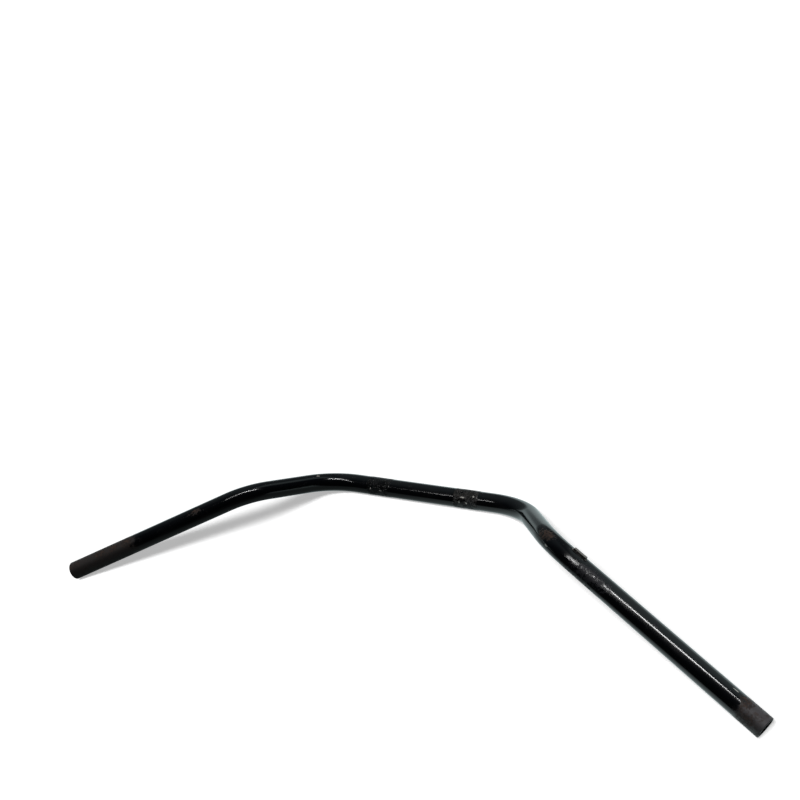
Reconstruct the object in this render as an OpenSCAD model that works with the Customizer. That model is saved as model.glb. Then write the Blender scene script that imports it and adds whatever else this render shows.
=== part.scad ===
// Quad bike handlebar: one steel tube with four bends, two knurled clamp bands and a small
// stop tab welded to the right arm. Millimetres, +Z up, X along the clamp section. The origin
// is on the tube's axis, halfway between the clamps. The bar lies as it comes to rest on a
// table: on its clamp bands and on the rims of its two open ends.

/* [Tube] */
// Outside diameter of the tube
tube_od = 22.2; // [19:0.1:28.6]
// Wall thickness of the tube
tube_wall = 2; // [1.2:0.1:4]
// Radius that deburring leaves on the outer edge of an open end
rim_round = 0.7; // [0.2:0.1:1]
// Width of the chamfer on the inner edge of an open end
mouth_chamfer = 0.4; // [0.1:0.1:0.8]

/* [Bending] */
// Radius of every bend, measured to the tube's axis
bend_radius = 66.6; // [50:0.1:100]
// Straight clamp section between the two inner bends
centre_length = 180; // [160:1:300]
// Angle of each inner bend
inner_bend = 56; // [30:1:70]
// Straight riser between an inner bend and an outer bend
riser_length = 52.5; // [20:0.5:150]
// Turn of the tube about its own axis between its inner and outer bend
bend_turn = 142; // [120:1:180]
// Angle of each outer bend
outer_bend = 45; // [25:1:60]
// Thinning of the wall in a bend, on its outside and on its inside
bend_thinning = 0.02; // [0.01:0.01:0.1]
// Straight from an outer bend to the open end
grip_length = 230; // [180:1:320]

/* [Clamp bands] */
// Distance between the middles of the two clamp bands
clamp_spacing = 115; // [80:1:124]
// Length of each knurled band along the tube
knurl_length = 30; // [15:0.5:34]
// Number of teeth in the knurl
knurl_teeth = 60; // [24:1:72]
// Height of the knurl's crests above the plain tube
knurl_rise = 0.2; // [0.05:0.05:0.4]
// Depth of the grooves below the crests
knurl_depth = 0.35; // [0.2:0.05:0.45]

/* [Stop tab] */
// Length of the tab along the tube
tab_length = 16; // [8:0.5:30]
// Thickness of the tab's plate
tab_thickness = 3.2; // [1.5:0.1:4]
// Height of the tab above the tube
tab_height = 3; // [1:0.1:8]
// Radius of the tab's two upper corners
tab_corner = 0.8; // [0.2:0.1:1]
// Distance from the outer bend to the tab, below zero where the tab starts on the bend
tab_setback = -2; // [-3:0.5:60]
// Place of the tab round the tube, from the inside of the outer bend
tab_angle = 119; // [0:1:359]
// Radius of the tack weld at each end of the tab
weld_radius = 2; // [1:0.1:3]

/* [Hidden] */
$fn = 96;
tube_r = tube_od / 2;
bore_r = tube_r - tube_wall;
crest_r = tube_r + knurl_rise;
// How far a bend's wall runs on inside the wall of the straight beside it
bend_lap = 0.5;
// Size of the bevel on the wall's edges where a straight meets a bend's thinner wall
joint_bevel = 2 * bend_thinning;
// How far a cutting shape runs past the face that it cuts
overcut = 1;
// How far the tab's plate starts below the tube's surface, before the tube's curve trims it
tab_root = 0.5;
// Angles between which the bar's rest angle lies, and the halvings that find it
rest_range = [-30, 90];
rest_halvings = 40;

// The bends as directions. A vector here has its parts along the clamp section, towards the
// inside of the first bend, and square to both.
// Distance from a bend's end to the corner that its two straights would make
function corner_cut(angle) = bend_radius * tan(angle / 2);
riser_way = [cos(inner_bend), sin(inner_bend), 0];
outer_side = [-sin(inner_bend) * cos(bend_turn), cos(inner_bend) * cos(bend_turn), sin(bend_turn)];
grip_way = riser_way * cos(outer_bend) + outer_side * sin(outer_bend);
arm_end = [centre_length / 2 + corner_cut(inner_bend), 0, 0]
    + riser_way * (corner_cut(inner_bend) + riser_length + corner_cut(outer_bend))
    + grip_way * (corner_cut(outer_bend) + grip_length);

// Height of such a vector when the first bend's plane stands at an angle to the table
function lift(v, angle) = v[1] * sin(angle) - v[2] * cos(angle);
// Height of the open end's lowest point, at its rounded rim, above the table under the clamp bands
function end_gap(angle) = let (fall = lift(grip_way, angle))
    lift(arm_end, angle) - rim_round * fall
    - (tube_r - rim_round) * sqrt(1 - fall * fall) - rim_round + crest_r;
// The angle at which both open ends touch the table, found by halving
function rest_angle(low, high, steps) = let (middle = (low + high) / 2)
    steps == 0 ? middle
    : end_gap(middle) > 0 ? rest_angle(low, middle, steps - 1)
    : rest_angle(middle, high, steps - 1);
bar_rest_angle = rest_angle(rest_range[0], rest_range[1], rest_halvings);

// A bend's wall in section, a little thinner than a straight's on each face
module bend_section() {
    difference() {
        circle(r = tube_r - bend_thinning);
        circle(r = bore_r + bend_thinning);
    }
}

// The wall in section at a clamp band: a ring of V grooves between flat crests
module knurl_section() {
    difference() {
        circle(r = crest_r);
        circle(r = bore_r);
        for (tooth = [0 : knurl_teeth - 1])
            rotate((tooth + 0.5) * 360 / knurl_teeth)
                translate([crest_r, 0])
                    rotate(45)
                        square(knurl_depth * sqrt(2), center = true);
    }
}

// A stretch of plain tube along +Y. Its wall's edges are bevelled at each end that meets a bend:
// 0 is its start and 1 is its far end.
module straight(length, bend_ends) {
    rotate([-90, 0, 0])
        rotate_extrude()
            difference() {
                translate([bore_r, 0])
                    square([tube_wall, length]);
                for (end = bend_ends, face = [bore_r, tube_r])
                    translate([face, end * length])
                        rotate(45)
                            square(joint_bevel * sqrt(2), center = true);
            }
}

// A knurled stretch of tube along +Y
module knurl_band() {
    rotate([-90, 0, 0])
        linear_extrude(knurl_length)
            knurl_section();
}

// Carries its children past a bend, to where the tube runs on
module past_bend(angle) {
    translate([-bend_radius, 0, 0])
        rotate(angle)
            translate([bend_radius, 0, 0])
                children();
}

// A bend that starts along +Y at the origin and turns towards -X. Drawing the tube round the
// former thins its wall a little, so each end of the bend laps inside the straight's wall.
module bend(angle) {
    lap = bend_lap / bend_radius * 180 / PI;
    translate([-bend_radius, 0, 0])
        rotate_extrude(angle = angle + 2 * lap, start = -lap)
            translate([bend_radius, 0])
                bend_section();
}

// The last stretch of a grip straight, with its deburred edges, ending at the origin
module open_end() {
    rotate([-90, 0, 0])
        rotate_extrude() {
            difference() {
                translate([bore_r, -rim_round])
                    square([tube_wall, rim_round]);
                translate([tube_r - rim_round, -rim_round])
                    difference() {
                        square(rim_round + overcut);
                        circle(r = rim_round);
                    }
                polygon([
                    [bore_r - overcut, overcut],
                    [bore_r - overcut, -mouth_chamfer - overcut],
                    [bore_r + mouth_chamfer + overcut, overcut]
                ]);
            }
        }
}

// Lays the bar down: its children are drawn with the clamp section along +Y and the first bend
// in the XY plane, towards -X
module laid_down() {
    rotate([180 - bar_rest_angle, 0, 0])
        rotate(-90)
            children();
}

// Places its children on the right arm where the tube leaves the inner bend
module at_riser() {
    translate([0, centre_length / 2, 0])
        past_bend(inner_bend)
            children();
}

// Places its children on the right arm where the tube leaves the outer bend, with the inside
// of that bend towards -X
module at_grip() {
    at_riser()
        translate([0, riser_length, 0])
            rotate([0, bend_turn, 0])
                past_bend(outer_bend)
                    children();
}

// The clamp section: plain tube with two knurled bands
module clamp_section() {
    between = clamp_spacing - knurl_length;
    outboard = (centre_length - clamp_spacing - knurl_length) / 2;
    translate([0, -between / 2, 0])
        straight(between, []);
    for (side = [-1, 1])
        translate([0, side * clamp_spacing / 2 - knurl_length / 2, 0])
            knurl_band();
    translate([0, -centre_length / 2, 0])
        straight(outboard, [0]);
    translate([0, centre_length / 2 - outboard, 0])
        straight(outboard, [1]);
}

// The right arm: inner bend, riser, outer bend, grip straight and open end
module arm() {
    translate([0, centre_length / 2, 0])
        bend(inner_bend);
    at_riser() {
        straight(riser_length, [0, 1]);
        translate([0, riser_length, 0])
            rotate([0, bend_turn, 0])
                bend(outer_bend);
    }
    at_grip() {
        straight(grip_length - rim_round, [0]);
        translate([0, grip_length, 0])
            open_end();
    }
}

// The whole tube, bent from one piece
module bar_tube() {
    color([0.03, 0.03, 0.035])
        laid_down() {
            clamp_section();
            arm();
            mirror([0, 1, 0])
                arm();
        }
}

// Places its children on the tube's surface under the tab's middle, with +Y along the tube and
// +X away from it
module at_tab() {
    laid_down()
        at_grip()
            translate([0, tab_setback + tab_length / 2, 0])
                rotate([0, 180 + tab_angle, 0])
                    translate([tube_r, 0, 0])
                        children();
}

// The tab's plate in outline, with its two upper corners rounded
module tab_outline() {
    square_height = tab_height - tab_corner;
    translate([-tab_root, -tab_length / 2])
        square([tab_root + square_height, tab_length]);
    translate([-tab_root, tab_corner - tab_length / 2])
        square([tab_root + tab_height, tab_length - 2 * tab_corner]);
    for (side = [-1, 1])
        translate([square_height, side * (tab_length / 2 - tab_corner)])
            circle(r = tab_corner);
}

// The tab's plate before the tube's curve trims its foot
module tab_plate() {
    linear_extrude(tab_thickness, center = true)
        tab_outline();
}

// The tube's outside under the tab, for what is fitted to it
module tube_under_tab() {
    rotate([90, 0, 0])
        translate([-tube_r, 0, 0])
            cylinder(r = tube_r, h = tab_length + 4 * weld_radius, center = true);
}

// A small plate that stands on the tube beside the throttle housing
module stop_tab() {
    color([0.05, 0.05, 0.055])
        at_tab()
            difference() {
                tab_plate();
                tube_under_tab();
            }
}

// A tack weld at each end of the tab's foot
module tab_welds() {
    color([0.07, 0.065, 0.06])
        at_tab()
            for (side = [-1, 1])
                difference() {
                    translate([0, side * tab_length / 2, 0])
                        sphere(r = weld_radius);
                    tab_plate();
                    tube_under_tab();
                }
}

bar_tube();
stop_tab();
tab_welds();
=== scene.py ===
"""Worn black handlebar of a quad bike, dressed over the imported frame.

Three pieces stand for the three solids of the frame: the bent tube with its knurled clamp bands,
the stop tab on the right arm and the tab's two tack welds. All lengths are in metres, in the
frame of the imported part: the tube's clamp section runs along X, Z is up, and the bar lies on a
table as it comes to rest.
"""

from __future__ import annotations

import logging
import math
from collections.abc import Callable, Sequence
from dataclasses import dataclass, field
from enum import Enum
from functools import reduce

import bmesh
import bpy
from bmesh.types import BMesh
from bpy.types import Material, Mesh, Node, NodeInputs, NodeOutputs, NodeSocket, NodeTree, Object
from mathutils import Matrix, Vector, noise


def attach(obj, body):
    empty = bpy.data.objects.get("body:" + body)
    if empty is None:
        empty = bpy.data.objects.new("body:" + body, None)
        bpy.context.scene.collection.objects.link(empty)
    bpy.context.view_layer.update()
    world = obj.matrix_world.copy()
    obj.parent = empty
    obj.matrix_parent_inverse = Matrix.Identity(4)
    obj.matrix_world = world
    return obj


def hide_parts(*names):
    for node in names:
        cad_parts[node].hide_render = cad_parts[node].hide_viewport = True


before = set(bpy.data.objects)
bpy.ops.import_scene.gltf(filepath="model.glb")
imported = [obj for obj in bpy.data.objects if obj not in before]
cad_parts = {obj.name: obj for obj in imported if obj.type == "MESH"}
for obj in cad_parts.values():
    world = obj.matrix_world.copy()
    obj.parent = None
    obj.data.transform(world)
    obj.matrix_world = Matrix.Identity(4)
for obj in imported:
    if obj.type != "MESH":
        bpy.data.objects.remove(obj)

LOG = logging.getLogger("handlebar")
MM = 0.001
# Name of the vertex attribute that holds each vertex's place on the tube as if it were straight
STRAIGHT_PLACE = "straight_place"

Triple = tuple[float, float, float]
Colour = Triple
Range = tuple[float, float]
Levels = tuple[Range, ...]
Size = tuple[Vector, float, float]


class Slot(Enum):
    """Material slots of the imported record."""

    TUBE = "black_paint"
    TAB = "tab_paint"
    WELD = "painted_weld"


class Side(Enum):
    """The two arms of the bar, as the sign of their X."""

    LEFT = -1
    RIGHT = 1


# The bar's shape


@dataclass(frozen=True)
class Station:
    """A place on the tube's centre line on the right half, and the tube's axes there."""

    along: float
    centre: Vector
    way: Vector
    over: Vector
    near: Vector

    def on_side(self, side: Side) -> Station:
        """This station, or its mirror image on the left half.

        Args:
            side: the half.

        Returns:
            The station.
        """
        if side is Side.RIGHT:
            return self
        flip = Vector((-1, 1, 1))
        return Station(
            along=-self.along,
            centre=self.centre * flip,
            way=-(self.way * flip),
            over=self.over * flip,
            near=self.near * flip,
        )

    def point(self, radius: float, angle: float) -> Vector:
        """The point at a radius and an angle round the tube.

        Args:
            radius: distance from the tube's axis.
            angle: angle from the top of the tube towards the rider's side, in radians.

        Returns:
            The point in the frame of the part.
        """
        return self.centre + radius * (math.cos(angle) * self.over + math.sin(angle) * self.near)


@dataclass(frozen=True)
class CentreLine:
    """The tube's centre line: a clamp section and on each side two bends and two straights."""

    centre_length: float = 180 * MM
    inner_bend: float = math.radians(56)
    riser_length: float = 52.5 * MM
    bend_turn: float = math.radians(142)
    outer_bend: float = math.radians(45)
    grip_length: float = 230 * MM
    bend_radius: float = 66.6 * MM
    tube_radius: float = 11.1 * MM
    crest_radius: float = 11.3 * MM
    rim_round: float = 0.7 * MM
    bend_step: float = math.radians(2)
    rest_range: Range = (math.radians(-30), math.radians(90))
    rest_halvings: int = 50
    carry_steps: int = 240

    @property
    def riser_way(self) -> Vector:
        """Direction of the riser, by parts along the clamp section, into its bend and across."""
        return Vector((math.cos(self.inner_bend), math.sin(self.inner_bend), 0))

    @property
    def outer_side(self) -> Vector:
        """Direction towards the inside of the outer bend where it starts."""
        across = Vector((-math.sin(self.inner_bend), math.cos(self.inner_bend), 0))
        return across * math.cos(self.bend_turn) + Vector((0, 0, math.sin(self.bend_turn)))

    @property
    def grip_way(self) -> Vector:
        """Direction of the grip straight."""
        return self.riser_way * math.cos(self.outer_bend) + self.outer_side * math.sin(self.outer_bend)

    @property
    def grip_inside(self) -> Vector:
        """Direction towards the inside of the outer bend where it ends."""
        return self.outer_side * math.cos(self.outer_bend) - self.riser_way * math.sin(self.outer_bend)

    @property
    def half_length(self) -> float:
        """Length of the centre line from the bar's middle to an open end."""
        bends = self.bend_radius * (self.inner_bend + self.outer_bend)
        return self.centre_length / 2 + self.riser_length + self.grip_length + bends

    @property
    def grip_start(self) -> float:
        """Place along the centre line where the grip straight starts."""
        return self.half_length - self.grip_length

    def corner(self, angle: float) -> float:
        """Distance from a bend's end to the corner of its two straights."""
        return self.bend_radius * math.tan(angle / 2)

    def rest_angle(self) -> float:
        """Angle of the first bend's plane at which both open ends touch the table.

        Returns:
            The angle in radians.
        """
        end = Vector((self.centre_length / 2 + self.corner(self.inner_bend), 0, 0))
        both = self.corner(self.inner_bend) + self.riser_length + self.corner(self.outer_bend)
        end += self.riser_way * both
        end += self.grip_way * (self.corner(self.outer_bend) + self.grip_length)
        low, high = self.rest_range
        for _ in range(self.rest_halvings):
            middle = (low + high) / 2
            fall = self.grip_way.y * math.sin(middle) - self.grip_way.z * math.cos(middle)
            height = end.y * math.sin(middle) - end.z * math.cos(middle) - self.rim_round * fall
            drop = (self.tube_radius - self.rim_round) * math.sqrt(1 - fall * fall)
            if height - drop - self.rim_round + self.crest_radius > 0:
                high = middle
            else:
                low = middle
        return (low + high) / 2

    def laid_down(self, parts: Vector) -> Vector:
        """A vector turned from the bending frame into the part's frame.

        Args:
            parts: its parts in the bending frame.

        Returns:
            The vector.
        """
        turn = self.rest_angle()
        return Vector((
            parts.x,
            -(parts.y * math.cos(turn) + parts.z * math.sin(turn)),
            parts.y * math.sin(turn) - parts.z * math.cos(turn),
        ))

    def on_arc(self, start: Vector, way: Vector, inside: Vector, angle: float) -> tuple[Vector, Vector]:
        """Point and direction on a bend.

        Args:
            start: where the bend starts.
            way: the tube's direction there.
            inside: direction towards the bend's centre there.
            angle: how far round the bend, in radians.

        Returns:
            The point and the tube's direction.
        """
        out = way * math.sin(angle) + inside * (1 - math.cos(angle))
        return start + out * self.bend_radius, way * math.cos(angle) + inside * math.sin(angle)

    def bending_place(self, along: float) -> tuple[Vector, Vector]:
        """Point and direction at a place along the right half, in the bending frame.

        Args:
            along: distance from the bar's middle along the centre line.

        Returns:
            The point and the tube's direction.
        """
        way, inside = Vector((1, 0, 0)), Vector((0, 1, 0))
        half = self.centre_length / 2
        if along <= half:
            return way * along, way
        start, left = way * half, along - half
        arc = self.bend_radius * self.inner_bend
        if left <= arc:
            return self.on_arc(start, way, inside, left / self.bend_radius)
        start, way = self.on_arc(start, way, inside, self.inner_bend)
        left -= arc
        if left <= self.riser_length:
            return start + way * left, way
        start, left = start + way * self.riser_length, left - self.riser_length
        arc = self.bend_radius * self.outer_bend
        if left <= arc:
            return self.on_arc(start, way, self.outer_side, left / self.bend_radius)
        start, way = self.on_arc(start, way, self.outer_side, self.outer_bend)
        return start + way * (left - arc), way

    def stations(self, places: Sequence[float]) -> list[Station]:
        """Stations at rising places along the right half, with axes carried along without twist.

        Args:
            places: distances from the bar's middle, the first of them zero or more.

        Returns:
            One station for each place.
        """
        found: list[Station] = []
        way, over = Vector((1, 0, 0)), Vector((0, 0, 1))
        for along in self.fine_places(places):
            point, ahead = self.bending_place(along)
            ahead = self.laid_down(ahead).normalized()
            over = way.rotation_difference(ahead) @ over
            over = (over - ahead * over.dot(ahead)).normalized()
            way = ahead
            if along in places:
                centre = self.laid_down(point)
                found.append(Station(along, centre, way.copy(), over.copy(), way.cross(over)))
        return found

    def fine_places(self, places: Sequence[float]) -> list[float]:
        """The places asked for, with enough between them to carry the axes round the bends."""
        between = [i * self.half_length / self.carry_steps for i in range(self.carry_steps + 1)]
        return sorted(set(between) | set(places))


def spread(start: float, end: float, step: float) -> list[float]:
    """Evenly spaced numbers from start to end, at most a step apart, both ends included."""
    count = max(1, math.ceil(abs(end - start) / step))
    return [start + (end - start) * i / count for i in range(count + 1)]


@dataclass
class MeshDraft:
    """Vertices and faces of a piece while it is built."""

    points: list[Vector] = field(default_factory=list)
    places: list[Vector] = field(default_factory=list)
    faces: list[list[int]] = field(default_factory=list)
    looks: list[int] = field(default_factory=list)

    def ring(self, points: Sequence[Vector], places: Sequence[Vector]) -> list[int]:
        """Adds a ring of vertices.

        Args:
            points: where the vertices are.
            places: where they would be on a straight tube.

        Returns:
            The vertices' numbers.
        """
        first = len(self.points)
        self.points.extend(points)
        self.places.extend(places)
        return list(range(first, first + len(points)))

    def bridge(self, one: Sequence[int], other: Sequence[int], look: int) -> None:
        """Joins two rings of the same size by faces.

        Args:
            one: the first ring.
            other: the second ring.
            look: number of the material slot.
        """
        count = len(one)
        for i in range(count):
            after = (i + 1) % count
            self.faces.append([one[i], other[i], other[after], one[after]])
            self.looks.append(look)

    def to_object(self, name: str, materials: Sequence[Material], sharp: float) -> Object:
        """Makes the piece's object.

        Args:
            name: the piece's name.
            materials: its materials, in slot order.
            sharp: edges over this angle stay sharp, in radians.

        Returns:
            The object, linked to the scene.
        """
        mesh = bpy.data.meshes.new(name)
        mesh.from_pydata(self.points, [], self.faces)
        for material in materials:
            mesh.materials.append(material)
        mesh.polygons.foreach_set("material_index", self.looks)
        if self.places:
            flat = [value for place in self.places for value in place]
            mesh.attributes.new(STRAIGHT_PLACE, "FLOAT_VECTOR", "POINT").data.foreach_set("vector", flat)
        return finished_object(name, mesh, sharp)


def mesh_of(shape: BMesh, name: str, material: Material) -> Mesh:
    """A mesh in one material from a drawn shape, which is let go.

    Args:
        shape: the drawn shape.
        name: the mesh's name.
        material: its material.

    Returns:
        The mesh.
    """
    mesh = bpy.data.meshes.new(name)
    shape.to_mesh(mesh)
    shape.free()
    mesh.materials.append(material)
    return mesh


def finished_object(name: str, mesh: Mesh, sharp: float) -> Object:
    """An object of a mesh with outward faces, smooth but for its sharp edges.

    Args:
        name: the piece's name.
        mesh: its mesh.
        sharp: edges over this angle stay sharp, in radians.

    Returns:
        The object, linked to the scene.
    """
    shape = bmesh.new()
    shape.from_mesh(mesh)
    bmesh.ops.recalc_face_normals(shape, faces=shape.faces)
    shape.to_mesh(mesh)
    shape.free()
    mesh.shade_smooth()
    mesh.set_sharp_from_angle(angle=sharp)
    mesh.update()
    piece = bpy.data.objects.new(name, mesh)
    bpy.context.scene.collection.objects.link(piece)
    return piece


# Node trees


class Graph:
    """Adds nodes to one node tree and links them."""

    def __init__(self, tree: NodeTree) -> None:
        """Takes the tree to add to."""
        self.tree = tree

    def node(self, kind: str, **settings: object) -> Node:
        """Adds a node.

        Args:
            kind: the node's type, without its leading "ShaderNode".
            settings: its properties.

        Returns:
            The node.
        """
        made = self.tree.nodes.new("ShaderNode" + kind)
        for name, value in settings.items():
            setattr(made, name, value)
        return made

    def feed(self, socket: NodeSocket, value: object) -> None:
        """Links a socket to another, or sets it to a value.

        Args:
            socket: the socket.
            value: an output socket, a number, a vector or a colour.
        """
        if isinstance(value, NodeSocket):
            self.tree.links.new(value, socket)
        elif socket.type == "RGBA" and len(value) == 3:
            socket.default_value = (*value, 1)
        else:
            socket.default_value = value

    def fed(self, kind: str, values: dict[str | int, object], **settings: object) -> Node:
        """Adds a node and feeds its inputs.

        Args:
            kind: the node's type, without its leading "ShaderNode".
            values: what goes into its inputs, by their names or numbers.
            settings: its properties.

        Returns:
            The node.
        """
        made = self.node(kind, **settings)
        for key, value in values.items():
            self.feed(made.inputs[key], value)
        return made

    def math(self, operation: str, *values: object, clamp: bool = False) -> NodeSocket:
        """The result of a Math node."""
        return self.fed("Math", dict(enumerate(values)), operation=operation, use_clamp=clamp).outputs[0]

    def times(self, *values: object) -> NodeSocket:
        """The product of several numbers."""
        return reduce(lambda one, other: self.math("MULTIPLY", one, other), values)

    def most(self, *masks: object) -> NodeSocket:
        """The largest of several masks."""
        return reduce(lambda one, other: self.math("MAXIMUM", one, other), masks)

    def without(self, mask: object) -> NodeSocket:
        """A mask turned round, from 1 to 0."""
        return self.math("SUBTRACT", 1, mask)

    def vector(self, operation: str, *values: object) -> NodeSocket:
        """The vector, or for LENGTH the number, of a Vector Math node."""
        made = self.fed("VectorMath", dict(enumerate(values)), operation=operation)
        return made.outputs["Value" if operation == "LENGTH" else "Vector"]

    def scaled(self, vector: object, factor: object) -> NodeSocket:
        """A vector times a number."""
        return self.fed("VectorMath", {0: vector, "Scale": factor}, operation="SCALE").outputs["Vector"]

    def part(self, vector: NodeSocket, axis: int) -> NodeSocket:
        """One of a vector's three parts."""
        return self.fed("SeparateXYZ", {0: vector}).outputs[axis]

    def cloud(self, vector: object, scale: object, detail: float, rough: float) -> NodeSocket:
        """Noise from 0 to 1, of a scale, a number of finer layers and their strength."""
        values = {"Vector": vector, "Scale": scale, "Detail": detail, "Roughness": rough}
        return self.fed("TexNoise", values).outputs["Fac"]

    def step(self, value: object, low: object, high: object) -> NodeSocket:
        """A smooth step from 0 to 1 as a value goes from low to high."""
        values = {"Value": value, "From Min": low, "From Max": high}
        return self.fed("MapRange", values, interpolation_type="SMOOTHSTEP", clamp=True).outputs["Result"]

    def blend(self, share: object, one: object, other: object) -> NodeSocket:
        """A number that goes from one to other as the share goes from 0 to 1."""
        return self.fed("Mix", {0: share, 2: one, 3: other}, data_type="FLOAT").outputs[0]

    def tint(self, share: object, one: object, other: object) -> NodeSocket:
        """A colour that goes from one to other as the share goes from 0 to 1."""
        return self.fed("Mix", {0: share, 6: one, 7: other}, data_type="RGBA").outputs[2]

    def ramp(self, value: object, stops: Sequence[tuple[float, Colour]]) -> NodeSocket:
        """A colour read off a ramp.

        Args:
            value: where on the ramp, from 0 to 1.
            stops: places and colours.

        Returns:
            The colour.
        """
        made = self.fed("ValToRGB", {"Fac": value})
        stripe = made.color_ramp.elements
        while len(stripe) < len(stops):
            stripe.new(0.5)
        for element, (place, colour) in zip(stripe, stops):
            element.position = place
            element.color = (*colour, 1)
        return made.outputs["Color"]

    def placed(self, group: NodeTree, **values: object) -> Node:
        """Adds a group to the tree, and feeds its inputs, with _ for a space in their names."""
        named = {name.replace("_", " "): value for name, value in values.items()}
        return self.fed("Group", named, node_tree=group)

    def mask(self, group: NodeTree, **values: object) -> NodeSocket:
        """The mask of a group that is added to the tree with the given inputs."""
        return self.placed(group, **values).outputs["Mask"]

    def relief(self, shader: Node, height: object, strength: float, depth: float) -> None:
        """Lets a height stand out of a shader's surface, with a strength and a depth."""
        bump = self.fed("Bump", {"Strength": strength, "Distance": depth, "Height": height})
        self.feed(shader.inputs["Normal"], bump.outputs["Normal"])


class Kind(Enum):
    """Kinds of socket that a group has."""

    NUMBER = "NodeSocketFloat"
    VECTOR = "NodeSocketVector"
    COLOUR = "NodeSocketColor"


def new_group(
    name: str,
    inputs: dict[str, tuple[Kind, object]],
    outputs: dict[str, Kind],
) -> tuple[Graph, NodeOutputs, NodeInputs]:
    """An empty shader node group.

    Args:
        name: the group's name.
        inputs: the names of its inputs besides Place, with their kinds and usual values.
        outputs: the names of its outputs, with their kinds.

    Returns:
        Its graph, the values given to it and the sockets of its results.
    """
    tree = bpy.data.node_groups.new(name, "ShaderNodeTree")
    for label, (kind, usual) in {"Place": (Kind.VECTOR, (0, 0, 0)), **inputs}.items():
        socket = tree.interface.new_socket(name=label, in_out="INPUT", socket_type=kind.value)
        socket.default_value = usual
    for label, kind in outputs.items():
        tree.interface.new_socket(name=label, in_out="OUTPUT", socket_type=kind.value)
    return Graph(tree), tree.nodes.new("NodeGroupInput").outputs, tree.nodes.new("NodeGroupOutput").inputs


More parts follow.
